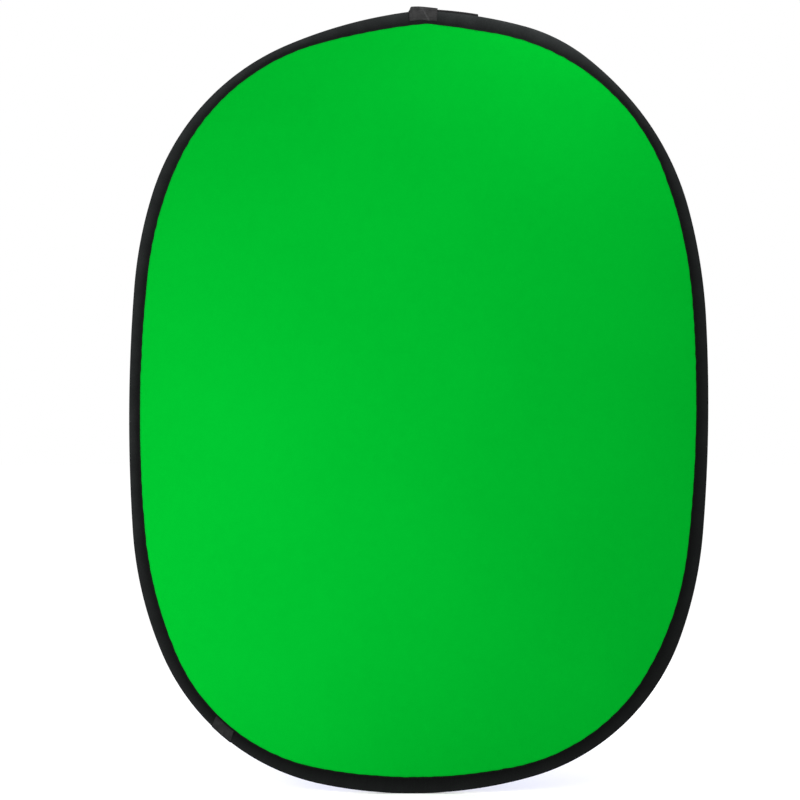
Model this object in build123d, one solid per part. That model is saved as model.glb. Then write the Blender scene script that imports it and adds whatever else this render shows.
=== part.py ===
from build123d import *
import math
import os
from collections import namedtuple

# Collapsible oval background, about 1.5 m by 2 m: a sprung steel hoop sewn into a fabric binding that
# holds a green cloth at the front and a blue one at the rear, with a hanging loop at the top.
#
# Everything is drawn lying flat, front face up: X is to the right, Y is towards the top of the oval and
# Z is the depth, front positive. stand_up() then turns the finished pieces upright, so that the row has
# +Z up, the front at -Y, and its origin at the lowest point of the rim.
#
# "Inset" is a distance from the rim's outermost line towards the middle; a negative inset lies outside it.

# ---- Outline of the rim, anticlockwise from the right: (turn in degrees, radius in mm) of tangent arcs.
# A radius of None is worked out so that the outline closes.
RIM_FIRST_NORMAL = 3.0
RIM_ARCS = [
    (12.0, 1366.0),  # right side
    (25.5, 706.0),  # right shoulder
    (11.3, 811.0),
    (23.1, 446.0),
    (13.1, 1152.0),  # crown, right of the loop patch
    (8.9, 150.0),  # the crown is pulled to a slight point under the patch
    (16.3, 1188.0),  # crown, left of the patch
    (49.4, 609.0),  # left shoulder
    (13.0, 1089.0),
    (8.1, None),  # left side
    (19.5, 961.0),
    (55.0, 567.0),  # lower left
    (27.4, None),  # bottom
    (54.3, 567.0),  # lower right
    (15.4, 1038.0),
    (7.7, 4065.0),  # right side
]

# ---- Outline of the visible cloth, where the binding's inner edge lies, in the same form. It has its own
# arcs, because the binding's width wanders.
CLOTH_FIRST_NORMAL = -6.7
CLOTH_ARCS = [
    (11.2, 3309.0),  # right side
    (16.1, 1165.0),
    (59.4, 566.0),  # right shoulder
    (3.2, 3000.0),
    (12.7, 80.0),  # crown, pulled to a slight point under the loop patch
    (9.7, 1634.0),
    (51.0, 558.0),  # left shoulder
    (17.1, 937.0),
    (11.2, None),  # left side
    (18.5, 1032.0),
    (55.7, 495.0),  # lower left
    (22.6, None),  # bottom
    (48.7, 507.0),  # lower right
    (22.9, 807.0),
]
BINDING_WIDTH_RIGHT = 30.6
BINDING_WIDTH_BOTTOM = 41.1

# ---- Binding: a tape folded over the hoop, flat at the sides, sloping down to two flat lips.
TAPE = 0.9
HALF_DEPTH = 8.5  # half the binding's thickness where it covers the hoop
FLAT_END = 6.9  # inset where the slope starts
SLOPE_END = 17.4  # inset where the lips start
LIP_RISE = 1.75  # outer face of a lip, from the middle plane
LIP_START = 18.0  # inset where the lips turn from a constant section into plates
RIM_CORNER = 2.2
FLOAT_GAP = 0.1  # air between pieces that lie against each other

# ---- Cloth panels
CLOTH = 0.6
PANEL_INSET = 8.0  # outer edge of both panels, inside the binding
PANEL_GAP = 0.3  # between the two panels

# ---- Spring hoop and its joint
BAND_THICK = 1.5
BAND_WIDTH = 12.0
BAND_INSET = 3.0
BAND_END_GAP = 1.0
JOINT_NORMAL = 228.5  # direction of the rim's normal at the joint, degrees from +X
SLEEVE_LENGTH = 64.0
SLEEVE_WALL = 0.7
WRAP_LENGTH = 76.0
WRAP_WALL = 0.4
WRAP_INSET = (1.1, 6.4)
WRAP_HALF_WIDTH = 7.3
WRAP_CORNER = 1.2
RIVET_RADIUS = 1.2
RIVET_HOLE_RADIUS = 1.25
RIVET_HEAD_RADIUS = 2.1
RIVET_HEAD_HEIGHT = 0.6
RIVET_OFFSETS = (-24.0, -10.0, 10.0, 24.0)  # along the band from the joint

# ---- Loop patch, a folded cloth saddle over the top of the rim
PATCH_LEFT = 97.5  # normals at the patch's two ends
PATCH_RIGHT = 86.1
PATCH_CLOTH = 1.2
PATCH_LIFT = 0.5  # between the binding and a patch, room for the binding's thread
PATCH_DEPTH = 24.5
PATCH_HEIGHT = 10.5  # of its outer face above the rim
PATCH_CORNER = 3.0

# ---- Hanging loop, a webbing folded double along the rim
WEBBING_HALF_WIDTH = 7.5
WEBBING = 2.2
LOOP_CLEARANCE = 0.4  # under the loop
LOOP_HEIGHT = 5.2  # both layers and the eye between them
LOOP_FAR_NORMAL = 80.9
LOOP_ROOT_GAP = 0.3
LOOP_SEWN_LENGTH = 9.0  # stretch at the root where the layers are sewn together
TAIL_LEFT = 87.6

# ---- Closing patch, over the hoop's joint where the binding's ends meet
CLOSING_LENGTH = 66.0
CLOSING_CLOTH = 0.9
CLOSING_DEPTH = 27.0

# ---- Thread
THREAD_WIDTH = 0.9
THREAD_RISE = 0.35
SEAM_INSET = 2.5  # from the binding's inner edge to the seam
BOX_MARGIN = 1.6  # from a patch's edge to its box of stitches

Bend = namedtuple("Bend", "x y radius start end")


# ---------------------------------------------------------------- outline of tangent arcs
def direction(angle):
    """Unit vector at an angle in degrees from +X."""
    return math.cos(math.radians(angle)), math.sin(math.radians(angle))


def closing_radii(normals, radii):
    """The radii, with the two that are None worked out so that the arcs end where they start."""
    ends = [direction(normal) for normal in normals]
    steps = [(b[0] - a[0], b[1] - a[1]) for a, b in zip(ends, ends[1:])]
    i, j = [k for k, radius in enumerate(radii) if radius is None]
    left_x = -sum(r * step[0] for r, step in zip(radii, steps) if r is not None)
    left_y = -sum(r * step[1] for r, step in zip(radii, steps) if r is not None)
    (a, c), (b, d) = steps[i], steps[j]
    solved = {i: (left_x * d - left_y * b) / (a * d - b * c), j: (left_y * a - left_x * c) / (a * d - b * c)}
    return [solved.get(k, radius) for k, radius in enumerate(radii)]


def closed_outline(first_normal, arcs):
    """A closed smooth outline as a list of bends, starting at the origin."""
    normals = [first_normal]
    for turn, _ in arcs:
        normals.append(normals[-1] + turn)
    bends = []
    x, y = 0.0, 0.0
    radii = closing_radii(normals, [radius for _, radius in arcs])
    for radius, start, end in zip(radii, normals, normals[1:]):
        ux, uy = direction(start)
        vx, vy = direction(end)
        bends.append(Bend(x - radius * ux, y - radius * uy, radius, start, end))
        x += radius * (vx - ux)
        y += radius * (vy - uy)
    return bends


def reach(outline, angle):
    """How far an outline reaches from the origin in the direction of an angle."""
    ux, uy = direction(angle)
    turned = [(angle - bend.start) % 360 <= bend.end - bend.start for bend in outline]
    bend = outline[turned.index(True)]
    return bend.x * ux + bend.y * uy + bend.radius


def shifted(outline, dx, dy):
    """The outline moved by dx, dy."""
    return [bend._replace(x=bend.x + dx, y=bend.y + dy) for bend in outline]


def rim_outline():
    """The rim's outermost line, centred on X = 0 with its lowest point at Y = 0."""
    outline = closed_outline(RIM_FIRST_NORMAL, RIM_ARCS)
    return shifted(outline, (reach(outline, 180) - reach(outline, 0)) / 2, reach(outline, 270))


def cloth_outline(rim):
    """The binding's inner edge, placed by the binding's width at the right and at the bottom."""
    outline = closed_outline(CLOTH_FIRST_NORMAL, CLOTH_ARCS)
    dx = reach(rim, 0) - BINDING_WIDTH_RIGHT - reach(outline, 0)
    dy = reach(outline, 270) - reach(rim, 270) + BINDING_WIDTH_BOTTOM
    return shifted(outline, dx, dy)


def bend_at(outline, normal):
    """The bend that holds a normal."""
    return next(bend for bend in outline if bend.start <= normal <= bend.end)


def turn_for(outline, normal, length):
    """Turn in degrees along the bend at a normal, for a length along the rim."""
    return math.degrees(length / bend_at(outline, normal).radius)


# ---------------------------------------------------------------- solids that follow an outline
def outline_face(outline, inset):
    """The flat face inside an outline, drawn in by an inset."""
    edges = [
        CenterArc((bend.x, bend.y), bend.radius - inset, bend.start, bend.end - bend.start)
        for bend in outline
    ]
    return make_face(edges)


def plate(face, low, high):
    """A flat face given thickness between two depths."""
    return Pos(0, 0, low) * extrude(face, high - low)


def follow(outline, face, first, last):
    """A solid whose section, a face of (inset, depth), follows the outline between two normals."""
    pieces = []
    for lap in (0, 360):
        for bend in outline:
            start = max(first, bend.start + lap)
            end = min(last, bend.end + lap)
            if end - start < 1e-6:
                continue
            upright = Plane((bend.radius, 0, 0), x_dir=(-1, 0, 0), z_dir=(0, 1, 0)) * face
            pieces.append(Pos(bend.x, bend.y) * Rot(0, 0, start) * revolve(upright, Axis.Z, end - start))
    return pieces[0] if len(pieces) == 1 else pieces[0].fuse(*pieces[1:])


def box_section(low_inset, high_inset, low_depth, high_depth):
    """A rectangular section."""
    centre = ((low_inset + high_inset) / 2, (low_depth + high_depth) / 2)
    return Pos(*centre) * Rectangle(high_inset - low_inset, high_depth - low_depth)


def shoulder(raised):
    """The two ends of the binding's slope, raised off its outer face: [(inset, depth), (inset, depth)]."""
    half_turn = math.atan2(HALF_DEPTH - LIP_RISE, SLOPE_END - FLAT_END) / 2
    along = raised * math.tan(half_turn)
    return [(FLAT_END + along, HALF_DEPTH + raised), (SLOPE_END + along, LIP_RISE + raised)]


def saddle_section(raised, thick, top, depth, corner):
    """A tape of one thickness folded over the rim: raised off the binding's face, its top at an inset."""
    outer = shoulder(raised + thick)
    inner = shoulder(raised)
    outer_top = (top, HALF_DEPTH + raised + thick)
    inner_top = (top + thick, HALF_DEPTH + raised)
    front = [(depth, LIP_RISE + raised + thick), outer[1], outer[0], outer_top]
    back = [(s, -d) for s, d in reversed(front)]
    front_inner = [(depth, LIP_RISE + raised), inner[1], inner[0], inner_top]
    back_inner = [(s, -d) for s, d in front_inner]
    points = front + back + back_inner + front_inner[::-1]
    face = make_face(Polyline(*points, close=True))
    for (s, d), radius in ((outer_top, corner), (inner_top, corner - thick)):
        for side in (1, -1):
            near = min(face.vertices(), key=lambda v: abs(v.X - s) + abs(v.Y - side * d))
            face = fillet(near, radius)
    return face


# ---------------------------------------------------------------- binding, cloth and seams
def edge_binding(rim, cloth):
    """The binding tape: a folded channel round the hoop and two plates for its lips."""
    section = saddle_section(-TAPE, TAPE, 0.0, LIP_START, RIM_CORNER)
    channel = follow(rim, section, RIM_FIRST_NORMAL, RIM_FIRST_NORMAL + 360)
    ring = outline_face(rim, LIP_START) - outline_face(cloth, 0.0)
    front_lip = plate(ring, LIP_RISE - TAPE, LIP_RISE)
    return channel.fuse(front_lip, mirror(front_lip, Plane.XY))


def front_panel(rim):
    """The green cloth, whose edge lies in the binding."""
    return plate(outline_face(rim, PANEL_INSET), PANEL_GAP / 2, PANEL_GAP / 2 + CLOTH)


def stitching_front(cloth):
    """The needle thread of the seam that closes the binding, along its inner edge."""
    ring = outline_face(cloth, -SEAM_INSET - THREAD_WIDTH) - outline_face(cloth, -SEAM_INSET)
    return plate(ring, LIP_RISE, LIP_RISE + THREAD_RISE)


def mirrored(piece):
    """The same piece at the rear."""
    return mirror(piece, Plane.XY)


# ---------------------------------------------------------------- spring hoop and its joint
def rivet_positions(rim):
    """Normals at which the rivets cross the band."""
    return [JOINT_NORMAL + turn_for(rim, JOINT_NORMAL, offset) for offset in RIVET_OFFSETS]


def radial_cylinder(rim, normal, radius, low_inset, high_inset):
    """A cylinder along the rim's normal, between two insets."""
    bend = bend_at(rim, normal)
    lying = Rot(0, 90, 0) * Cylinder(radius, high_inset - low_inset)
    centre = bend.radius - (low_inset + high_inset) / 2
    return Pos(bend.x, bend.y) * Rot(0, 0, normal) * Pos(centre, 0, 0) * lying


def drilled(rim, piece):
    """The piece with the rivets' holes through it."""
    for normal in rivet_positions(rim):
        piece = piece - radial_cylinder(rim, normal, RIVET_HOLE_RADIUS, 0.0, 2 * BAND_INSET + BAND_THICK)
    return piece


def spring_band(rim):
    """The flat spring steel hoop, one length whose ends meet in the sleeve."""
    section = box_section(BAND_INSET, BAND_INSET + BAND_THICK, -BAND_WIDTH / 2, BAND_WIDTH / 2)
    half_gap = turn_for(rim, JOINT_NORMAL, BAND_END_GAP / 2)
    return drilled(rim, follow(rim, section, JOINT_NORMAL + half_gap, JOINT_NORMAL + 360 - half_gap))


def sleeve_insets():
    """Insets of the sleeve's outer faces."""
    grow = FLOAT_GAP + SLEEVE_WALL
    return BAND_INSET - grow, BAND_INSET + BAND_THICK + grow


def joint_sleeve(rim):
    """The flat steel tube crimped over the two ends of the band."""
    half = BAND_WIDTH / 2 + FLOAT_GAP
    low, high = sleeve_insets()
    outside = box_section(low, high, -half - SLEEVE_WALL, half + SLEEVE_WALL)
    inside = box_section(low + SLEEVE_WALL, high - SLEEVE_WALL, -half, half)
    reach_out = turn_for(rim, JOINT_NORMAL, SLEEVE_LENGTH / 2)
    return drilled(rim, follow(rim, outside - inside, JOINT_NORMAL - reach_out, JOINT_NORMAL + reach_out))


def joint_rivets(rim):
    """Four rivets through the sleeve and the band, two on each side of the joint."""
    low, high = sleeve_insets()
    rivets = []
    for normal in rivet_positions(rim):
        shank = radial_cylinder(rim, normal, RIVET_RADIUS, low, high)
        outer = radial_cylinder(rim, normal, RIVET_HEAD_RADIUS, low - RIVET_HEAD_HEIGHT, low)
        inner = radial_cylinder(rim, normal, RIVET_HEAD_RADIUS, high, high + RIVET_HEAD_HEIGHT)
        rivets.append(shank.fuse(outer, inner))
    return Compound(children=rivets)


def joint_wrap(rim):
    """The fabric tape wound round the sleeve, so that its edges don't cut the binding."""
    low, high = WRAP_INSET
    outside = box_section(low, high, -WRAP_HALF_WIDTH, WRAP_HALF_WIDTH)
    inner_half = WRAP_HALF_WIDTH - WRAP_WALL
    inside = box_section(low + WRAP_WALL, high - WRAP_WALL, -inner_half, inner_half)
    section = fillet(outside.vertices(), WRAP_CORNER) - fillet(inside.vertices(), WRAP_CORNER - WRAP_WALL)
    reach_out = turn_for(rim, JOINT_NORMAL, WRAP_LENGTH / 2)
    return follow(rim, section, JOINT_NORMAL - reach_out, JOINT_NORMAL + reach_out)


# ---------------------------------------------------------------- patches
def loop_patch(rim):
    """The folded cloth saddle that holds the loop's sewn end on the rim."""
    section = saddle_section(PATCH_LIFT, PATCH_CLOTH, -PATCH_HEIGHT, PATCH_DEPTH, PATCH_CORNER)
    return follow(rim, section, PATCH_RIGHT, PATCH_LEFT)


def closing_patch(rim):
    """The cloth saddle over the hoop's joint."""
    top = -FLOAT_GAP - CLOSING_CLOTH
    corner = RIM_CORNER + PATCH_LIFT + CLOSING_CLOTH
    section = saddle_section(PATCH_LIFT, CLOSING_CLOTH, top, CLOSING_DEPTH, corner)
    reach_out = turn_for(rim, JOINT_NORMAL, CLOSING_LENGTH / 2)
    return follow(rim, section, JOINT_NORMAL - reach_out, JOINT_NORMAL + reach_out)


def stitch_box(rim, first, last, high_inset, face_depth):
    """A box of stitches on a patch's lips, one solid at the front and one at the rear."""
    low_inset = shoulder(face_depth - LIP_RISE)[1][0] + BOX_MARGIN / 2
    high_inset = high_inset - BOX_MARGIN
    margin = turn_for(rim, first, BOX_MARGIN)
    width = turn_for(rim, first, THREAD_WIDTH)
    low, high = face_depth, face_depth + THREAD_RISE
    outside = follow(rim, box_section(low_inset, high_inset, low, high), first + margin, last - margin)
    section = box_section(low_inset + THREAD_WIDTH, high_inset - THREAD_WIDTH, low, high)
    inside = follow(rim, section, first + margin + width, last - margin - width)
    front = outside - inside
    return Compound(children=[front, mirrored(front)])


def loop_patch_stitching(rim):
    """The stitches that hold the loop patch's two legs."""
    return stitch_box(rim, PATCH_RIGHT, PATCH_LEFT, PATCH_DEPTH, LIP_RISE + PATCH_LIFT + PATCH_CLOTH)


def closing_patch_stitching(rim):
    """The stitches that hold the closing patch's two legs."""
    reach_out = turn_for(rim, JOINT_NORMAL, CLOSING_LENGTH / 2)
    face_depth = LIP_RISE + PATCH_LIFT + CLOSING_CLOTH
    return stitch_box(rim, JOINT_NORMAL - reach_out, JOINT_NORMAL + reach_out, CLOSING_DEPTH, face_depth)


# ---------------------------------------------------------------- hanging loop
def loop_slot(rim, first, last, height):
    """A strip with round ends that lies along the crown, on the middle line of the loop's height."""
    crown = bend_at(rim, PATCH_RIGHT)
    middle = crown.radius + LOOP_CLEARANCE + LOOP_HEIGHT / 2
    trim = math.degrees(height / 2 / middle)
    line = CenterArc((crown.x, crown.y), middle, first + trim, last - first - 2 * trim)
    return extrude(SlotArc(line, height), WEBBING_HALF_WIDTH, both=True)


def hanging_loop(rim):
    """The free part of the loop: two layers of webbing joined by the fold at the far end, and its eye."""
    root = PATCH_RIGHT - turn_for(rim, PATCH_RIGHT, LOOP_ROOT_GAP)
    eye_root = root - turn_for(rim, PATCH_RIGHT, LOOP_SEWN_LENGTH)
    eye_far = LOOP_FAR_NORMAL + turn_for(rim, PATCH_RIGHT, WEBBING)
    eye = loop_slot(rim, eye_far, eye_root, LOOP_HEIGHT - 2 * WEBBING)
    return loop_slot(rim, LOOP_FAR_NORMAL, root, LOOP_HEIGHT) - eye


def loop_tail(rim):
    """The loop's sewn end, four layers of webbing pressed together under the patch."""
    return loop_slot(rim, PATCH_RIGHT + turn_for(rim, PATCH_RIGHT, LOOP_ROOT_GAP), TAIL_LEFT, LOOP_HEIGHT)


# ---------------------------------------------------------------- assembly
def stand_up(piece):
    """Turns a piece drawn lying flat upright, front at -Y."""
    return Rot(90, 0, 0) * piece


def hinge_point(rim):
    """Where the loop folds: the patch's upper right edge, upright, in mm."""
    ux, uy = direction(PATCH_RIGHT)
    crown = bend_at(rim, PATCH_RIGHT)
    away = crown.radius + PATCH_HEIGHT
    return crown.x + away * ux, 0.0, crown.y + away * uy


def pieces():
    """Every piece by its node's name."""
    rim = rim_outline()
    cloth = cloth_outline(rim)
    print("loop hinge at", hinge_point(rim))
    print("rim reaches", [round(reach(rim, angle), 3) for angle in (0, 90, 180, 270)])
    green = front_panel(rim)
    needle_thread = stitching_front(cloth)
    return {
        "spring_band": spring_band(rim),
        "joint_sleeve": joint_sleeve(rim),
        "joint_rivets": joint_rivets(rim),
        "joint_wrap": joint_wrap(rim),
        "front_panel": green,
        "rear_panel": mirrored(green),
        "edge_binding": edge_binding(rim, cloth),
        "binding_thread_front": needle_thread,
        "binding_thread_rear": mirrored(needle_thread),
        "closing_patch": closing_patch(rim),
        "closing_patch_thread": closing_patch_stitching(rim),
        "loop_patch": loop_patch(rim),
        "loop_patch_thread": loop_patch_stitching(rim),
        "loop_tail": loop_tail(rim),
        "hanging_loop": hanging_loop(rim),
    }


os.makedirs("parts", exist_ok=True)
for node, piece in pieces().items():
    export_step(stand_up(piece), f"parts/{node}.step")
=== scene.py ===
import math
import random

import bmesh
import bpy
import numpy as np
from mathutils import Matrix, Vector


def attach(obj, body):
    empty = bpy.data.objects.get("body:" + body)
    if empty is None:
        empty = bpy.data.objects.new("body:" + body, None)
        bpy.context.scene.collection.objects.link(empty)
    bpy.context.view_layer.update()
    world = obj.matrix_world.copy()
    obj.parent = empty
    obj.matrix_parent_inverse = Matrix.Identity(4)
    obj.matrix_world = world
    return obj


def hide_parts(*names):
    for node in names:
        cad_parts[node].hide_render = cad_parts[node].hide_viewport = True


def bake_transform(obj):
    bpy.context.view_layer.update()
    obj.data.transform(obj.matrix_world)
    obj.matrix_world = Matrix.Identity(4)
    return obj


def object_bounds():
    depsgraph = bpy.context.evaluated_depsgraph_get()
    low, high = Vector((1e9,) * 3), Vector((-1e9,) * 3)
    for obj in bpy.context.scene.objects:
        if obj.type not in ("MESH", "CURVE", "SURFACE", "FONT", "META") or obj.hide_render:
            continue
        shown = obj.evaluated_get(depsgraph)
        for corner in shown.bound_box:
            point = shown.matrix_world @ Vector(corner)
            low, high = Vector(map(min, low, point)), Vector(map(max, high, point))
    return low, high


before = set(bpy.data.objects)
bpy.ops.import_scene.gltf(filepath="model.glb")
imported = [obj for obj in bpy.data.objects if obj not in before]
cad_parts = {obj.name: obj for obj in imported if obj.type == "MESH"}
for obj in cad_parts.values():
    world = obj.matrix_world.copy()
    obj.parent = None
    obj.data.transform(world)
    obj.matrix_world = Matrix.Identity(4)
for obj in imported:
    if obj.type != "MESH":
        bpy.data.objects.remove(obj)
cad_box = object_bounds()

# Collapsible oval background: a sprung steel hoop in a black binding, green cloth in front, blue behind,
# a folded patch and a hanging loop at the top, a second patch over the hoop's joint at the lower left.
#
# Metres, +Z up, front at -Y. "Inset" is a distance from the rim's outermost line towards the middle,
# "depth" a distance from the middle plane, front positive, and "length" a distance along the rim's line,
# anticlockwise seen from the front. A "station" is a place along a piece where its section is drawn.

# ---- Outline of the rim, anticlockwise from the right: (turn in degrees, radius) of tangent arcs, after
# the first normal in degrees from +X. A radius of None is worked out so that the outline closes.
RIM_FIRST_NORMAL = 3.0
RIM_ARCS = [
    (12.0, 1.366),  # right side
    (25.5, 0.706),  # right shoulder
    (11.3, 0.811),
    (23.1, 0.446),
    (13.1, 1.152),  # crown, right of the top patch
    (8.9, 0.150),  # the crown is pulled to a slight point under the patch
    (16.3, 1.188),  # crown, left of the patch
    (49.4, 0.609),  # left shoulder
    (13.0, 1.089),
    (8.1, None),  # left side
    (19.5, 0.961),
    (55.0, 0.567),  # lower left
    (27.4, None),  # bottom
    (54.3, 0.567),  # lower right
    (15.4, 1.038),
    (7.7, 4.065),  # right side
]

# ---- Outline of the visible cloth, where the binding's inner edge lies, in the same form. It has its own
# arcs, because the binding's width wanders.
CLOTH_FIRST_NORMAL = -6.7
CLOTH_ARCS = [
    (11.2, 3.309),  # right side
    (16.1, 1.165),
    (59.4, 0.566),  # right shoulder
    (3.2, 3.000),
    (12.7, 0.080),  # crown, pulled to a slight point under the top patch
    (9.7, 1.634),
    (51.0, 0.558),  # left shoulder
    (17.1, 0.937),
    (11.2, None),  # left side
    (18.5, 1.032),
    (55.7, 0.495),  # lower left
    (22.6, None),  # bottom
    (48.7, 0.507),  # lower right
    (22.9, 0.807),
]
BINDING_WIDTH_RIGHT = 0.0306
BINDING_WIDTH_BOTTOM = 0.0411

# ---- Binding: a tape folded over the hoop, flat at its sides, sloping down to two sewn lips
TAPE = 0.0009
HALF_DEPTH = 0.0085  # half its thickness where it covers the hoop
FLAT_END = 0.0069  # inset where the slope down to the lip starts
CORNER = 0.0022
LIP = 0.0052  # width of the sewn lip along the inner edge
LIP_DEPTH = 0.00185
LIP_FOOT = 0.0008  # inner face of a lip, just clear of the cloth
HEM = 0.0005  # width of the lip's rounded edge
HEM_DROP = 0.0004
SEAM = 0.00295  # from the binding's inner edge to the seam
SEAM_VALLEY = 0.0005
SEAM_VALLEY_REACH = 0.0009
WIDTH_WANDER = 0.0004
SLOPE_BULGE = 0.0006
SLOPE_BULGE_WANDER = 0.0005
GATHER_HEIGHT = 0.0010
BINDING_STATIONS = 1500

# ---- Cloth
CLOTH = 0.0006
PANEL_INSET = 0.008
PANEL_GAP = 0.0003  # between the two cloths
PANEL_STATIONS = 480
PANEL_RINGS = 56
SLOW_WAVE = 0.0011  # height of the taut cloth's long waves
PULL = 0.0005  # height of its short pulls beside the seam

# ---- Patches
PATCH_CLEARANCE = 0.0006  # between a patch and the binding
PRESSED_REACH = 0.004  # the binding is flat this far beyond a patch, and gathered in full from twice as far
PATCH_LEFT = 97.5  # normals at the top patch's two ends
PATCH_RIGHT = 86.1
PATCH_CLOTH = 0.0012
PATCH_LEG = 0.0235  # inset of its lower edge
PATCH_CORNER = 0.0026
PATCH_RIGHT_HEIGHT = 0.0084  # of its top over the rim at its right end
PATCH_RISE = 0.0042  # of its top from the right end to the left
PATCH_LOW_HEIGHT = 0.0008  # of its inner face over the rim at its left end
PATCH_STEEP = 0.0085  # stretch at its left end where it is pulled down
JOINT_NORMAL = 228.5
JOINT_PATCH_LENGTH = 0.063
JOINT_PATCH_SKEW = 0.011
JOINT_PATCH_CLOTH = 0.0009
JOINT_PATCH_LEG = 0.0262
JOINT_PATCH_LIFT = 0.0004  # of its inner face over the rim
HOLLOW_INSET = 0.0195  # of the pit beside the joint patch
HOLLOW_DEPTH = 0.0021
HOLLOW_OVERLAP = 0.001  # of its middle with the patch
HOLLOW_REACH = (0.006, 0.0065)  # along the rim and across the binding

# ---- Hanging loop
LOOP_FAR_NORMAL = 80.9
WEBBING = 0.0024
WEBBING_WIDTH = 0.015
SELVEDGE = 0.00015  # how far the webbing's edge is drawn in
SELVEDGE_WAVE = 0.00012
LAYER_LOW = 0.00135  # heights of the webbing's layers over the rim
LAYER_MIDDLE = 0.00385
LAYER_TOP = 0.0064
TAIL_END = 0.028  # the webbing's cut end, from the right edge of the top patch
TAIL_FOLD = 0.060  # its hidden fold, from the same edge
RIB_PITCH = 0.0016

# ---- Thread
STITCH_PITCH = 0.0040
STITCH_LENGTH = 0.0031
STITCH_RADIUS = 0.00042
STITCH_SIDES = 5
STITCH_RISE = (-0.00030, 0.00012, 0.00022, 0.00012, -0.00030)  # of its middle line over the cloth
STITCH_THICKNESS = (0.5, 0.95, 1.0, 0.95, 0.5)  # share of its radius

UV = "Cloth"  # UV map of every fabric piece, in metres on the cloth


# ---------------------------------------------------------------- outline of tangent arcs
def direction(degrees):
    """Unit vectors at angles from +X, in the XZ plane."""
    radians = np.radians(degrees)
    return np.stack([np.cos(radians), np.sin(radians)], axis=-1)


class Outline:
    """A closed smooth line of tangent arcs, measured by its length from its first normal."""

    def __init__(self, first_normal, arcs):
        turns = np.array([turn for turn, _ in arcs])
        self.normals = first_normal + np.concatenate([[0.0], np.cumsum(turns)])
        ends = direction(self.normals)
        steps = ends[1:] - ends[:-1]
        self.radii = np.array([radius or 0.0 for _, radius in arcs])
        free = [k for k, (_, radius) in enumerate(arcs) if radius is None]
        self.radii[free] = np.linalg.solve(steps[free].T, -self.radii @ steps)
        corners = np.vstack([[0.0, 0.0], np.cumsum(self.radii[:, None] * steps, axis=0)])
        self.centres = corners[:-1] - self.radii[:, None] * ends[:-1]
        self.lengths = np.concatenate([[0.0], np.cumsum(self.radii * np.radians(turns))])
        self.total = self.lengths[-1]

    def shift(self, dx, dz):
        self.centres = self.centres + np.array([dx, dz])

    def reach(self, degrees):
        """How far the outline reaches from the origin in a direction."""
        turned = (degrees - self.normals[:-1]) % 360
        k = int(np.argmax(turned <= np.diff(self.normals)))
        return self.centres[k] @ direction(degrees) + self.radii[k]

    def length_at(self, normal):
        """Length at which the outline has a normal."""
        return float(np.interp(normal, self.normals, self.lengths))

    def at(self, lengths):
        """Points and unit normals at lengths."""
        lengths = np.asarray(lengths) % self.total
        k = np.clip(np.searchsorted(self.lengths, lengths, side="right") - 1, 0, len(self.radii) - 1)
        angles = self.normals[k] + np.degrees((lengths - self.lengths[k]) / self.radii[k])
        normals = direction(angles)
        return self.centres[k] + self.radii[k][..., None] * normals, normals

    def outside(self, points):
        """Signed distance of points to the outline, positive outside."""
        away = points[:, None, :] - self.centres
        distances = np.hypot(away[..., 0], away[..., 1]) - self.radii
        angles = np.degrees(np.arctan2(away[..., 1], away[..., 0]))
        held = (angles - self.normals[:-1]) % 360 <= np.diff(self.normals) + 1e-6
        distances = np.where(held, distances, np.inf)
        nearest = np.argmin(np.abs(distances), axis=1)[:, None]
        return np.take_along_axis(distances, nearest, axis=1)[:, 0]


rim = Outline(RIM_FIRST_NORMAL, RIM_ARCS)
rim.shift((rim.reach(180) - rim.reach(0)) / 2, rim.reach(270))
cloth_edge = Outline(CLOTH_FIRST_NORMAL, CLOTH_ARCS)
cloth_edge.shift(
    rim.reach(0) - BINDING_WIDTH_RIGHT - cloth_edge.reach(0),
    cloth_edge.reach(270) - rim.reach(270) + BINDING_WIDTH_BOTTOM,
)


def binding_width(lengths):
    """Width of the binding at lengths along the rim, with a little wander of its own."""
    points, normals = rim.at(lengths)
    first_guess, rounds = 0.03, 6
    width = np.full(len(points), first_guess)
    for _ in range(rounds):
        width += cloth_edge.outside(points - width[:, None] * normals)
    return width + WIDTH_WANDER * rim_noise(lengths, 0.3, 0.03, seed=11)


def upright(points, normals, inset, depth):
    """Points in space at an inset and a depth beside points of the rim."""
    flat = points - np.asarray(inset)[..., None] * normals
    depth = np.broadcast_to(depth, flat.shape[:-1])
    return np.stack([flat[..., 0], -depth, flat[..., 1]], axis=-1)


def rim_noise(lengths, longest, shortest, seed, waves=24):
    """Smooth noise of waves between two lengths that closes round the rim, mostly between -1 and 1."""
    draw = random.Random(seed)
    value = np.zeros_like(lengths)
    for _ in range(waves):
        count = draw.randint(max(1, round(rim.total / longest)), round(rim.total / shortest))
        value += np.sin(2 * np.pi * count * lengths / rim.total + draw.uniform(0, 2 * np.pi))
    return value / math.sqrt(waves)


def ridged(noise):
    """Folds: sharp on top and round below, 0 to 1."""
    return 1 - np.minimum(np.abs(noise), 1)


def smooth_step(value):
    value = np.clip(value, 0, 1)
    return value * value * (3 - 2 * value)


# ---------------------------------------------------------------- meshes
def add_object(name, data):
    """A new object in the scene."""
    added = bpy.data.objects.new(name, data)
    bpy.context.scene.collection.objects.link(added)
    return added


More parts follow.
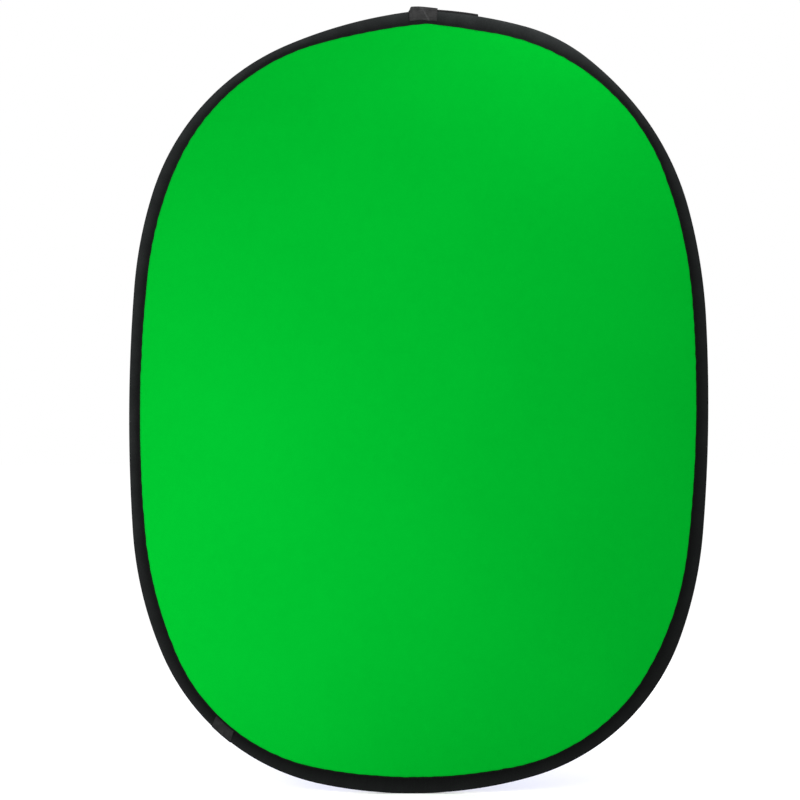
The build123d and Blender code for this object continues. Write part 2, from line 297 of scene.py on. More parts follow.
def new_mesh(name, vertices, faces, corner_uvs, material):
    """A smooth-shaded mesh object; corner_uvs holds one UV for each face corner, in order."""
    mesh = bpy.data.meshes.new(name)
    mesh.from_pydata([tuple(v) for v in vertices], [], faces)
    mesh.uv_layers.new(name=UV)
    mesh.uv_layers[UV].data.foreach_set("uv", np.asarray(corner_uvs, np.float32).ravel())
    mesh.polygons.foreach_set("use_smooth", [True] * len(mesh.polygons))
    mesh.materials.append(material)
    sides = bmesh.new()
    sides.from_mesh(mesh)
    bmesh.ops.recalc_face_normals(sides, faces=sides.faces)
    sides.to_mesh(mesh)
    sides.free()
    return add_object(name, mesh)


def path_lengths(points):
    """Running length along a row of points, from 0."""
    return np.concatenate([[0.0], np.cumsum(np.linalg.norm(np.diff(points, axis=0), axis=1))])


def tube(name, points, material, ring=False):
    """A closed mesh over a grid of points [along, across]; across always closes on itself.

    A ring closes along as well, and anything else gets a flat cap at each end."""
    rows, columns = points.shape[:2]
    last = rows if ring else rows - 1
    i, j = np.meshgrid(np.arange(last), np.arange(columns), indexing="ij")
    i, j = i.ravel(), j.ravel()
    near, far = i * columns, (i + 1) % rows * columns
    left, right = j, (j + 1) % columns
    faces = np.stack([near + left, near + right, far + right, far + left], axis=1).tolist()
    middle = points[:, columns // 4]
    along = path_lengths(np.vstack([middle, middle[:1]]) if ring else middle)
    section = points[rows // 2]
    across = path_lengths(np.vstack([section, section[:1]]))
    u0, u1, v0, v1 = along[i], along[i + 1], across[j], across[j + 1]
    uvs = np.stack([u0, v0, u0, v1, u1, v1, u1, v0], axis=1).reshape(-1, 2)
    if not ring:
        faces += [list(range(columns))[::-1], list(range((rows - 1) * columns, rows * columns))]
        cap = np.stack([np.zeros(columns), across[:-1]], axis=1)
        uvs = np.vstack([uvs, cap[::-1], cap])
    return new_mesh(name, points.reshape(-1, 3), faces, uvs, material)


def side_normals(path):
    """Unit normals away from the hoop, of paths of (inset, depth) points [..., point, 2] from front to
    rear."""
    tangent = np.gradient(path, axis=-2)
    tangent /= np.linalg.norm(tangent, axis=-1, keepdims=True)
    return np.stack([tangent[..., 1], -tangent[..., 0]], axis=-1)


def soften(points, rounds=2):
    """A row of points with its corners cut, keeping its two ends."""
    for _ in range(rounds):
        near = 0.75 * points[:-1] + 0.25 * points[1:]
        far = 0.25 * points[:-1] + 0.75 * points[1:]
        cut = np.stack([near, far], axis=1).reshape(-1, points.shape[1])
        points = np.vstack([points[:1], cut[1:-1], points[-1:]])
    return points


# ---------------------------------------------------------------- binding
def lip_depth(from_edge):
    """Depth of a lip's outer face: a rounded hem pressed down along the seam."""
    valley = SEAM_VALLEY * np.exp(-(((from_edge - SEAM) / SEAM_VALLEY_REACH) ** 2))
    hem = HEM_DROP * np.clip(1 - from_edge / HEM, 0, 1) ** 2
    return LIP_DEPTH - valley - hem


def gathers(lengths, seed):
    """Height of the small folds that the binding's inner side is gathered into, 0 to 1."""
    fine = ridged(rim_noise(lengths, 0.045, 0.016, seed))
    return fine * (0.65 + 0.35 * rim_noise(lengths, 0.5, 0.1, seed + 1))


def joint_hollow(lengths, inset):
    """Depth of the pit at the lower end of the joint patch, where the tape's end is folded under."""
    beyond_patch = lengths - rim.length_at(JOINT_NORMAL) - JOINT_PATCH_LENGTH / 2
    along = (beyond_patch + HOLLOW_OVERLAP) / HOLLOW_REACH[0]
    across = (inset - HOLLOW_INSET) / HOLLOW_REACH[1]
    return HOLLOW_DEPTH * np.exp(-(along**2) - across**2)


def pressed(lengths, inset):
    """1 where a patch presses the binding flat, down to 0 beside it."""
    share = np.zeros(inset.shape)
    joint = rim.length_at(JOINT_NORMAL)
    half = JOINT_PATCH_LENGTH / 2
    skewed = JOINT_PATCH_SKEW * (0.5 - inset / JOINT_PATCH_LEG)
    top = (rim.length_at(PATCH_RIGHT), rim.length_at(PATCH_LEFT), 0.0)
    for first, last, moved in (top, (joint - half, joint + half, skewed)):
        along = lengths - moved
        after_first = smooth_step((along - first) / PRESSED_REACH + 2)
        before_last = smooth_step((last - along) / PRESSED_REACH + 2)
        share += after_first * before_last
    return share


def binding_depth(lengths, width, inset, side):
    """Depth of the binding's outer face, at the front for side 1 and at the rear for -1. lengths and width
    are columns, inset is [station, point]."""
    seed = 21 if side > 0 else 31
    from_edge = width - inset
    slope = (from_edge - LIP) / (width - FLAT_END - LIP)
    run = np.clip(slope, 0, 1)
    loose = 1 - pressed(lengths, inset)
    bulge = loose * (SLOPE_BULGE + SLOPE_BULGE_WANDER * rim_noise(lengths, 1.2, 0.15, seed + 2))
    depth = LIP_DEPTH + run * (HALF_DEPTH - LIP_DEPTH) + bulge * np.sin(np.pi * run)
    depth = np.where(slope < 0, lip_depth(from_edge), depth)
    held_by_seam = (0.5 + 0.5 * np.abs(from_edge - SEAM) / SEAM).clip(0, 1)
    fold = GATHER_HEIGHT * np.clip(1 - 1.2 * run, 0, 1) * held_by_seam
    corner = np.clip(1 - inset / CORNER, 0, 1)
    rounded = CORNER * (1 - np.sqrt(1 - corner**2))
    pit = joint_hollow(lengths, inset) if side > 0 else 0.0
    return depth + loose * fold * gathers(lengths, seed) - rounded - pit


def binding_half(lengths, width, side):
    """One side of the binding's section, from its lip to the rim: [station, point, (inset, depth)]."""
    lip = width - np.array([0.0, 0.00012, 0.0004, 0.0011, 0.0020, SEAM, 0.0039, LIP])
    steps = np.array([0.14, 0.30, 0.48, 0.66, 0.84, 1.0])
    slope = width - LIP - steps * (width - FLAT_END - LIP)
    top = np.tile([0.0046, CORNER, 0.0011, 0.00035, 0.0], (len(width), 1))
    inset = np.concatenate([lip, slope, top], axis=1)
    depth = binding_depth(lengths, width, inset, side)
    return np.stack([inset, depth], axis=-1)


def binding_section(lengths, width):
    """The whole section, outer face then inner face, as a closed row of (inset, depth) points."""
    front = binding_half(lengths, width, 1)
    rear = binding_half(lengths, width, -1) * np.array([1.0, -1.0])
    middle = np.zeros((len(lengths), 3, 2))
    middle[..., 1] = np.array([0.5, 0.0, -0.5]) * (HALF_DEPTH - CORNER)
    outer = np.concatenate([front, middle, rear[:, ::-1]], axis=1)
    inner = (outer - TAPE * side_normals(outer))[:, 1:-1:2][:, ::-1]
    side = np.sign(outer[..., 1])[:, 1:-1:2][:, ::-1]
    lifted = side * np.maximum(side * inner[..., 1], LIP_FOOT)
    over_cloth = inner[..., 0] > PANEL_INSET
    inner[..., 1] = np.where(over_cloth, lifted, inner[..., 1])
    return np.concatenate([outer, inner], axis=1)


def binding_tape(material):
    """The tape folded over the hoop and gathered along its inner seam."""
    lengths = np.arange(BINDING_STATIONS)[:, None] * rim.total / BINDING_STATIONS
    width = binding_width(lengths[:, 0])[:, None]
    section = binding_section(lengths, width)
    points, normals = rim.at(lengths)
    grid = upright(points, normals, section[..., 0], section[..., 1])
    piece = tube("binding", grid, material, ring=True)
    return piece


# ---------------------------------------------------------------- cloth panels
def cloth_wave(x, z, edge, lengths, bound):
    """How far the taut cloth stands off its plane: slow waves and short pulls from the seam. edge is the
    distance from the rim, and bound the binding's width there, which holds the cloth flat."""
    slow = np.sin(4.1 * x + 2.3 * z + 0.6) + 0.7 * np.sin(2.2 * x - 5.3 * z + 2.0)
    slow += 0.5 * np.sin(7.9 * x + 6.1 * z + 4.4) + 0.35 * np.sin(-9.7 * x + 8.8 * z)
    from_binding = edge - 1.1 * bound
    pulls = rim_noise(lengths, 0.16, 0.05, seed=41)
    beside_seam = smooth_step(from_binding / 0.015) * np.exp(-edge / 0.045)
    return SLOW_WAVE * slow * smooth_step(from_binding / 0.25) + PULL * pulls * beside_seam


def sheet_faces(count):
    """Faces of a closed sheet of two layers. Each layer has count vertices: PANEL_RINGS rings, the
    outermost first, and one in the middle."""
    layer = []
    inner = (PANEL_RINGS - 1) * PANEL_STATIONS
    stations = [(k, (k + 1) % PANEL_STATIONS) for k in range(PANEL_STATIONS)]
    for ring in range(0, inner, PANEL_STATIONS):
        for near, far in stations:
            a, b = ring + near, ring + far
            layer.append([a, b, b + PANEL_STATIONS, a + PANEL_STATIONS])
    layer += [[inner + near, inner + far, count - 1] for near, far in stations]
    under = [[count + v for v in face[::-1]] for face in layer]
    edge = [[near, count + near, count + far, far] for near, far in stations]
    return layer + under + edge


def cloth_panel(name, side, material):
    """A taut sheet held in the binding; side is 1 for the front and -1 for the rear."""
    lengths = np.arange(PANEL_STATIONS) * rim.total / PANEL_STATIONS
    points, normals = rim.at(lengths)
    outer = points - PANEL_INSET * normals
    centre = np.array([0.0, (cad_box[0][2] + cad_box[1][2]) / 2])
    share = 1 - (1 - np.arange(PANEL_RINGS) / PANEL_RINGS) ** 0.7  # closer together near the rim
    rings = centre + (1 - share[:, None, None]) * (outer - centre)
    from_rim = share[:, None] * np.linalg.norm(outer - centre, axis=1) + PANEL_INSET
    ring_lengths = np.broadcast_to(lengths, from_rim.shape)
    wave = cloth_wave(rings[..., 0], rings[..., 1], from_rim, ring_lengths, binding_width(lengths))
    centre_wave = cloth_wave(centre[0], centre[1], np.array([0.7]), np.array([0.0]), BINDING_WIDTH_RIGHT)
    flat = np.vstack([rings.reshape(-1, 2), centre])
    lift = np.concatenate([wave.ravel(), centre_wave])
    layers = []
    for level in (PANEL_GAP / 2 + CLOTH, PANEL_GAP / 2):
        layers.append(np.stack([flat[:, 0], -(side * level + lift), flat[:, 1]], axis=1))
    vertices = np.vstack(layers)
    faces = sheet_faces(len(flat))
    if side > 0:
        faces = [face[::-1] for face in faces]
    uvs = np.array([(vertices[v][0], vertices[v][2]) for face in faces for v in face])
    piece = new_mesh(name, vertices, faces, uvs, material)
    return piece


# ---------------------------------------------------------------- patches
def evened(paths, rounds=3):
    """Paths of points [..., point, 2] drawn smooth, which takes out the loops that an offset makes in a
    tight corner."""
    for _ in range(rounds):
        middle = 0.5 * paths[..., 1:-1, :] + 0.25 * (paths[..., :-2, :] + paths[..., 2:, :])
        paths = np.concatenate([paths[..., :1, :], middle, paths[..., -1:, :]], axis=-2)
    return paths


def saddle(name, lengths, path, cloth, material, relief, skew=0.0):
    """A cloth folded over the rim, and the points and outward normals of its outer face. path gives that
    face for each station as [station, point, (inset, depth)], relief(lengths, inset, depth) is how far it
    stands proud there, and skew moves the fold along the rim against the legs' ends."""
    normals = side_normals(path)
    outer = path + relief(lengths[:, None], path[..., 0], path[..., 1])[..., None] * normals
    inner = evened(outer - cloth * side_normals(outer))[:, ::-1]
    section = np.concatenate([outer, inner], axis=1)
    leg = outer[..., 0].max()
    points, rim_normals = rim.at(lengths[:, None] + skew * (0.5 - section[..., 0] / leg))
    grid = upright(points, rim_normals, section[..., 0], section[..., 1])
    face = slice(0, outer.shape[1])
    outward = upright(0 * points[:, face], rim_normals[:, face], normals[..., 0], normals[..., 1])
    return tube(name, grid, material), grid[:, face], outward


def saddle_path(leg, width, height, cloth, corner):
    """Outer face of a saddle over the binding: up the front leg, over the rim and down the rear leg."""
    lift = PATCH_CLEARANCE + cloth
    run = max(width - leg - LIP, 0) / (width - FLAT_END - LIP)
    foot = LIP_DEPTH + run * (HALF_DEPTH - LIP_DEPTH) + lift * 1.05
    shoulder = 0.0035
    front = np.array([
        [leg, foot],
        [0.5 * (leg + FLAT_END), 0.5 * (foot + HALF_DEPTH + lift)],
        [FLAT_END + 0.0004, HALF_DEPTH + lift],
        [shoulder, HALF_DEPTH + lift],
        [0.5 * (shoulder - height), HALF_DEPTH + lift],
        [-height + 0.0004, HALF_DEPTH + lift - corner * 0.3],
        [-height, HALF_DEPTH + lift - corner],
        [-height, 0.002],
    ])
    rear = front[::-1] * np.array([1.0, -1.0])
    return soften(np.vstack([front, rear]))


def top_patch_height(from_right, whole):
    """Height of the top patch over the rim: highest near the left, where its cloth is then pulled down
    steeply."""
    slant = PATCH_RIGHT_HEIGHT + PATCH_RISE * (from_right / whole)
    low = PATCH_LOW_HEIGHT + PATCH_CLOTH
    return low + (slant - low) * smooth_step((whole - from_right) / PATCH_STEEP)


def top_patch(material):
    """The cloth folded over the sewn end of the loop."""
    right, left = rim.length_at(PATCH_RIGHT), rim.length_at(PATCH_LEFT)
    lengths = np.linspace(right, left, 96)
    paths = []
    for length, width in zip(lengths, binding_width(lengths)):
        height = top_patch_height(length - right, left - right)
        paths.append(saddle_path(PATCH_LEG, width, height, PATCH_CLOTH, PATCH_CORNER))

    def relief(along, inset, depth):
        """One slanting fold down the front, and fine crumples on both legs."""
        across = (left - along) / (left - right)
        line = across - 0.506 - 0.213 * inset / PATCH_LEG
        fold = 0.0014 * np.exp(-((line / 0.040) ** 2)) + 0.0007 * smooth_step(-line / 0.06)
        front = smooth_step(depth / 0.004) * smooth_step((inset + 0.003) / 0.004)
        crumple = 0.00022 * np.sin(310 * inset + 95 * along + 1.0) * np.sin(170 * along - 140 * inset)
        rear = smooth_step(-depth / 0.004)
        return fold * front + crumple * (front + rear)

    return saddle("top_patch", lengths, np.array(paths), PATCH_CLOTH, material, relief)


def joint_patch(material):
    """The stiff patch over the hoop's joint; its lower end lifts off at the inner corner."""
    middle = rim.length_at(JOINT_NORMAL)
    half = JOINT_PATCH_LENGTH / 2
    lengths = np.linspace(middle - half, middle + half, 90)
    height = JOINT_PATCH_LIFT + JOINT_PATCH_CLOTH
    corner = CORNER + PATCH_CLEARANCE + JOINT_PATCH_CLOTH
    paths = []
    for width in binding_width(lengths):
        paths.append(saddle_path(JOINT_PATCH_LEG, width, height, JOINT_PATCH_CLOTH, corner))

    def relief(along, inset, depth):
        """The curled corner at the front, and wrinkles across both legs."""
        from_end = middle + half - along
        curl = np.exp(-from_end / 0.006) * smooth_step((inset - 0.012) / 0.014)
        wrinkle = ridged(np.sin(420 * along + 120 * inset)) * smooth_step((inset - 0.006) / 0.012)
        front = smooth_step(depth / 0.004)
        return 0.0034 * curl * front + 0.00025 * wrinkle

    paths = np.array(paths)
    return saddle("joint_patch", lengths, paths, JOINT_PATCH_CLOTH, material, relief, JOINT_PATCH_SKEW)


# ---------------------------------------------------------------- hanging loop
def arc_path(length, height, radius, start, end, count=14):
    """An arc of the webbing's middle line between two angles in degrees, without its two end points."""
    turned = np.radians(np.linspace(start, end, count))[1:-1]
    return np.stack([length + radius * np.cos(turned), height + radius * np.sin(turned)], axis=1)


def strap_route():
    """The webbing's middle line as (length, height): cut end, fold, upper layer, far fold, lower layer."""
    root = rim.length_at(PATCH_RIGHT)
    far = rim.length_at(LOOP_FAR_NORMAL)
    fold_low = (LAYER_TOP - LAYER_MIDDLE) / 2
    fold_far = (LAYER_MIDDLE - LAYER_LOW) / 2
    left = root + TAIL_FOLD
    right = far + fold_far + WEBBING / 2
    upper = np.linspace(left, right, 60)
    slack = 0.00015 * np.sin(np.pi * np.clip((root - upper) / (root - far), 0, 1))
    return np.vstack([
        np.stack([np.linspace(root + TAIL_END, left, 20), np.full(20, LAYER_TOP)], axis=1),
        arc_path(left, (LAYER_TOP + LAYER_MIDDLE) / 2, fold_low, 90, -90),
        np.stack([upper, LAYER_MIDDLE + slack], axis=1),
        arc_path(right, (LAYER_MIDDLE + LAYER_LOW) / 2, fold_far, 90, 270),
        np.stack([upper[::-1], np.full(60, LAYER_LOW)], axis=1),
    ])


def resampled(points, step):
    """The same row of points at an even step, and the running length at each."""
    lengths = path_lengths(points)
    even = np.linspace(0, lengths[-1], int(lengths[-1] / step) + 1)
    return np.stack([np.interp(even, lengths, column) for column in points.T], axis=1), even


def hanging_strap(material):
    """One ribbed webbing, folded double along the rim; its sewn end lies under the top patch."""
    route, along = resampled(strap_route(), RIB_PITCH / 4)
    points, normals = rim.at(route[:, 0])
    flat = points + route[:, 1:2] * normals
    tangent = np.gradient(flat, axis=0)
    tangent /= np.linalg.norm(tangent, axis=1, keepdims=True)
    sideways = np.stack([-tangent[:, 1], tangent[:, 0]], axis=1)
    lower = np.array([
        (-1.0, -0.35), (-0.97, -0.85), (-0.88, -1.0), (-0.80, -0.82), (-0.4, -0.95), (0.0, -0.9),
        (0.4, -0.95), (0.80, -0.82), (0.88, -1.0), (0.97, -0.85), (1.0, -0.35),
    ])
    section = np.vstack([lower, lower[::-1] * np.array([1.0, -1.0])])
    rib = 0.5 + 0.5 * np.cos(2 * np.pi * along / RIB_PITCH)
    half_thick = WEBBING / 2 * (0.92 + 0.08 * rib)
    wave = np.sin(2 * np.pi * along / (1.5 * RIB_PITCH))
    half_width = WEBBING_WIDTH / 2 - SELVEDGE + SELVEDGE_WAVE * wave
    offset = half_thick[:, None] * section[None, :, 1]
    across = half_width[:, None] * section[None, :, 0]
    grid = flat[:, None] + offset[..., None] * sideways[:, None]
    piece = tube("hanging_loop_strap", np.stack([grid[..., 0], across, grid[..., 1]], axis=-1), material)
    return piece


# ---------------------------------------------------------------- stitches
def bead_faces(first, rings):
    """Faces and corner UVs of one stitch, whose vertices are rings of STITCH_SIDES, counted from first."""
    faces, uvs = [], []
    step = STITCH_LENGTH / (rings - 1)
    for i in range(rings - 1):
        for j in range(STITCH_SIDES):
            a = first + i * STITCH_SIDES + j
            b = first + i * STITCH_SIDES + (j + 1) % STITCH_SIDES
            faces.append([a, b, b + STITCH_SIDES, a + STITCH_SIDES])
            u, v = i * step, j * STITCH_RADIUS
            uvs += [(u, v), (u, v + STITCH_RADIUS), (u + step, v + STITCH_RADIUS), (u + step, v)]
    near_end = list(range(first, first + STITCH_SIDES))
    far_end = [v + (rings - 1) * STITCH_SIDES for v in near_end]
    return faces + [near_end[::-1], far_end], uvs + [(0, 0)] * (2 * STITCH_SIDES)


def stitches(name, rows, material):
    """Rows of separate stitches. Each row is (points, outward normals) along the cloth's face; every stitch
    is a short bead that dives into the cloth at both ends."""
    turned = np.radians(np.arange(STITCH_SIDES) * 360 / STITCH_SIDES)
    rise = np.array(STITCH_RISE)
    thick = STITCH_RADIUS * np.array(STITCH_THICKNESS)
    vertices, faces, uvs = [], [], []
    for points, outward in rows:
        lengths = path_lengths(points)
        count = int(lengths[-1] / STITCH_PITCH)
        starts = (np.arange(count) + 0.5) * lengths[-1] / count
        stations = starts[:, None] + np.linspace(-0.5, 0.5, len(rise)) * STITCH_LENGTH

        def read(values):
            return np.stack([np.interp(stations, lengths, column) for column in values.T], axis=-1)

        centre, up = read(points), read(outward)
        up /= np.linalg.norm(up, axis=-1, keepdims=True)
        forward = np.gradient(centre, axis=1)
        side = np.cross(forward, up)
        side /= np.linalg.norm(side, axis=-1, keepdims=True)
        centre = centre + rise[None, :, None] * up
        ring = np.cos(turned)[:, None] * side[:, :, None] + 0.75 * np.sin(turned)[:, None] * up[:, :, None]
        beads = centre[:, :, None] + thick[None, :, None, None] * ring
        for bead in beads:
            bead_face, bead_uv = bead_faces(len(vertices), len(rise))
            vertices += bead.reshape(-1, 3).tolist()
            faces += bead_face
            uvs += bead_uv
    return new_mesh(name, vertices, faces, uvs, material)


def seam_row(side):
    """The line of the binding's seam on its outer face."""
    lengths = np.linspace(0, rim.total, 2 * BINDING_STATIONS)[:, None]
    width = binding_width(lengths[:, 0])[:, None]
    inset = width - SEAM
    depth = side * binding_depth(lengths, width, inset, side)
    points, normals = rim.at(lengths[:, 0])
    row = upright(points, normals, inset[:, 0], depth[:, 0])
    outward = np.zeros_like(row)
    outward[:, 1] = -side
    return row, outward


def box_rows(face, outward, margin, bottom, top):
    """A box of stitches on the front leg of a saddle and one on its rear leg. bottom and top count points
    across the face from the leg's edge, and margin counts stations from the ends."""
    rows = []
    last = face.shape[1] - 1
    for low, high in ((bottom, top), (last - bottom, last - top)):
        step = 1 if high > low else -1
        columns = slice(low, high + step, step)
        for line in (low, high):
            rows.append((face[margin:-margin, line], outward[margin:-margin, line]))
        for station in (margin, -margin - 1):
            rows.append((face[station, columns], outward[station, columns]))
    return rows


# ---------------------------------------------------------------- materials
class Shader:
    """A material on the Principled shader, with short ways to add and link nodes."""

    def __init__(self, name, **sockets):
        self.material = bpy.data.materials.new(name)
        self.material.use_nodes = True
        self.tree = self.material.node_tree
        self.surface = self.tree.nodes["Principled BSDF"]
        for socket, value in sockets.items():
            self.surface.inputs[socket.replace("_", " ")].default_value = value

    def add(self, kind, inputs, output=0, **settings):
        """A new node; inputs maps a socket's name or number to a value or to another node's output."""
        node = self.tree.nodes.new("ShaderNode" + kind)
        for setting, value in settings.items():
            setattr(node, setting, value)
        for socket, value in inputs.items():
            if isinstance(value, bpy.types.NodeSocket):
                self.tree.links.new(value, node.inputs[socket])
            else:
                node.inputs[socket].default_value = value
        return node.outputs[output]

    def maths(self, operation, a, b=0.0):
        return self.add("Math", {0: a, 1: b}, operation=operation)

    def apart(self, a, b):
        """Distance between two values."""
        return self.maths("ABSOLUTE", self.maths("SUBTRACT", a, b))

    def arches(self, value):
        """A row of arches, 0 to 1, one to each unit of value."""
        return self.maths("ABSOLUTE", self.maths("SINE", self.maths("MULTIPLY", value, math.pi)))

    def scaled(self, vector, factors):
        return self.add("VectorMath", {0: vector, 1: factors}, operation="MULTIPLY")

    def dot(self, vector, way):
        return self.add("VectorMath", {0: vector, 1: way}, operation="DOT_PRODUCT", output="Value")

    def distance(self, vector, place):
        return self.add("VectorMath", {0: vector, 1: place}, operation="DISTANCE", output="Value")

    def noise(self, vector, scale, detail=2.0, roughness=0.5):
        values = {"Vector": vector, "Scale": scale, "Detail": detail, "Roughness": roughness}
        return self.add("TexNoise", values)

    def spread(self, value, low, high, to_low=0.0, to_high=1.0):
        """value taken from the range low..high to another range."""
        values = {"Value": value, 1: low, 2: high, 3: to_low, 4: to_high}
        return self.add("MapRange", values)

    def mixed(self, factor, a, b):
        """A colour between a and b."""
        return self.add("MixRGB", {"Fac": factor, "Color1": a, "Color2": b})

    def shaded(self, tone, factor):
        """A colour multiplied by a factor."""
        return self.add("MixRGB", {"Fac": 1.0, "Color1": tone, "Color2": factor}, blend_type="MULTIPLY")

    def link(self, value, socket):
        self.tree.links.new(value, self.surface.inputs[socket])

    def bumps(self, *layers):
        """Bump layers of (height, distance, strength), each on top of the one before."""
        normal = None
        for height, distance, strength in layers:
            values = {"Height": height, "Distance": distance, "Strength": strength}
            if normal is not None:
                values["Normal"] = normal
            normal = self.add("Bump", values)
        self.link(normal, "Normal")

    def cloth_vector(self):
        return self.add("UVMap", {}, uv_map=UV)

    def object_vector(self):
        return self.add("TexCoord", {}, output="Object")

    def weave(self, vector, warp_pitch, weft_pitch):
        """Height of a plain weave, 0 to 1, with warp on top in one cell and weft in the next."""
        cells = self.scaled(vector, (1 / warp_pitch, 1 / weft_pitch, 0.0))
        along = self.add("SeparateXYZ", {0: cells})
        across = along.node.outputs[1]
        over = self.add("TexChecker", {"Vector": cells, "Scale": 1.0}, output="Fac")
        lifted = self.maths("MULTIPLY", over, self.arches(along))
        lowered = self.maths("MULTIPLY", self.maths("SUBTRACT", 1.0, over), self.arches(across))
        return self.maths("ADD", lifted, lowered)


def colour(r, g, b):
    return (r, g, b, 1.0)


def panel_cloth(name, base, deep, light):
    """Matte plain-woven cotton with a slightly uneven dye."""
    s = Shader(name, Roughness=0.92, Specular_IOR_Level=0.0)
    cloth = s.cloth_vector()
    threads = s.weave(cloth, 0.00052, 0.00058)
    slubs = s.noise(s.scaled(cloth, (1.0, 14.0, 1.0)), 160.0, 3.0)
    dye = s.noise(cloth, 2.6, 3.0)
    mottle = s.noise(cloth, 34.0, 4.0, 0.6)
    tone = s.mixed(s.spread(dye, 0.3, 0.7), deep, base)
    tone = s.mixed(s.spread(mottle, 0.35, 0.75, 0.0, 0.35), tone, light)
    s.link(s.shaded(tone, s.spread(threads, 0.0, 0.6, 0.84, 1.0)), "Base Color")
    s.link(s.spread(slubs, 0.3, 0.7, 0.88, 0.97), "Roughness")
    s.bumps((mottle, 0.0012, 0.12), (slubs, 0.0002, 0.25), (threads, 0.00012, 0.35))
    return s.material


def tape_cloth(
    name, dark, light, wear_and_highlight, pitch, fold_line, mottle=21.0, painted_light_gradient=None, painted_highlight=None, crease_highlight=None
):
    """Black tape: a matte ribbed weave, rubbed paler along a fold line across the cloth. The last three
    arguments paint light. The first is the pair of factors for the darkest and palest end of painted light,
    from low right to high left on the hoop, paler where light falls from above and the left; with it come
    painted sheen, paler towards the fold line, and painted shade, darker towards the seam. The second is
    the (place, reach, factor) of a stretch painted paler as a highlight, and the third is the (direction,
    distance) of a sharp pale line in the cloth, a painted highlight along a crease."""
    s = Shader(name, Roughness=0.6, Specular_IOR_Level=0.02)
    cloth = s.cloth_vector()
    threads = s.weave(cloth, pitch, 1.7 * pitch)
    patches = s.noise(cloth, mottle, 3.0)
    lint = s.noise(s.scaled(cloth, (1.0, 5.0, 1.0)), 900.0, 2.0)
    rub = s.spread(s.noise(cloth, 75.0, 4.0, 0.7), 0.45, 0.75)
    tone = s.mixed(s.spread(patches, 0.3, 0.72), dark, light)
    from_fold = s.apart(s.add("SeparateXYZ", {0: cloth}, output=1), fold_line)
    if painted_light_gradient:
        # Painted light: the tape is paler towards the high left of the hoop, where light falls from above
        # and the left, and darker towards the low right.
        place = s.spread(s.dot(s.object_vector(), (-0.38, 0.0, 1.0)), -0.2, 2.2)
        painted_light = s.spread(s.maths("MULTIPLY", place, place), 0.0, 1.0, *painted_light_gradient)
        # Painted sheen and shade across the tape: paler towards the fold line, darker towards the seam.
        painted_sheen_across = s.spread(from_fold, 0.006, 0.036, 1.50, 0.38)
        tone = s.shaded(tone, s.maths("MULTIPLY", painted_light, painted_sheen_across))
    if painted_highlight:
        # Painted highlight: a stretch of tape painted paler round a place near the top right of the hoop.
        place, reach, factor = painted_highlight
        tone = s.shaded(tone, s.spread(s.distance(s.object_vector(), place), 0.0, reach, factor, 1.0))
    if crease_highlight:
        way, distance = crease_highlight
        # Painted highlight: a sharp pale line along a crease in the cloth, broken up by the rub noise.
        line = s.spread(s.apart(s.dot(cloth, way), distance), 0.0028, 0.0008)
        crease_highlight_mask = s.maths("MULTIPLY", line, s.spread(rub, 0.0, 1.0, 0.5, 1.0))
        # This pale colour serves both real wear and lint and the painted crease highlight.
        tone = s.mixed(s.maths("MULTIPLY", crease_highlight_mask, 0.75), tone, wear_and_highlight)
    rubbed = s.maths("MULTIPLY", s.spread(from_fold, 0.010, 0.007), rub)
    tone = s.mixed(s.maths("MULTIPLY", rubbed, 0.3), tone, wear_and_highlight)
    tone = s.mixed(s.spread(lint, 0.66, 0.8, 0.0, 0.22), tone, wear_and_highlight)
    s.link(tone, "Base Color")
    s.link(s.spread(patches, 0.3, 0.7, 0.5, 0.68), "Roughness")
    puckers = s.noise(s.scaled(cloth, (1.0, 0.22, 1.0)), 95.0, 2.0)
    s.bumps((patches, 0.0015, 0.15), (puckers, 0.0030, 0.6), (threads, 0.00022, 0.6))
    return s.material


def thread_fibre():
    """Bonded black thread with its twist."""
    s = Shader("thread", Roughness=0.55, Specular_IOR_Level=0.08)
    values = {"Vector": s.cloth_vector(), "Scale": 420.0, "Distortion": 0.6}
    twist = s.add("TexWave", values, output="Fac", bands_direction="DIAGONAL")
    s.link(s.mixed(twist, colour(0.003, 0.003, 0.0035), colour(0.010, 0.010, 0.011)), "Base Color")
    s.bumps((twist, 0.00012, 0.6))
    return s.material


def steel(name, base, stained, roughness, streaks, grain):
    """Metal that is brushed along the hoop, with faint stains."""
    s = Shader(name, Metallic=1.0, Roughness=roughness)
    place = s.object_vector()
    stain = s.noise(place, 38.0, 4.0, 0.6)
    scratches = s.noise(s.scaled(place, streaks), grain, 3.0)
    s.link(s.mixed(s.spread(stain, 0.42, 0.68), base, stained), "Base Color")
    s.link(s.spread(scratches, 0.3, 0.7, roughness - 0.08, roughness + 0.14), "Roughness")
    s.bumps((scratches, 0.00006, 0.4))
    return s.material


def wound_tape():
    """Black cotton tape, its turns overlapping along the sleeve."""
    s = Shader("wound_tape", Roughness=0.9, Specular_IOR_Level=0.1, Sheen_Weight=0.1)
    place = s.object_vector()
    values = {"Vector": place, "Scale": 22.0, "Distortion": 0.4}
    turns = s.add("TexWave", values, output="Fac", wave_profile="SAW", bands_direction="DIAGONAL")
    fuzz = s.noise(place, 1400.0, 3.0)
    tone = s.mixed(s.spread(fuzz, 0.3, 0.7), colour(0.012, 0.012, 0.012), colour(0.035, 0.034, 0.033))
    s.link(tone, "Base Color")
    s.bumps((turns, 0.0005, 0.7), (fuzz, 0.0002, 0.5))
    return s.material


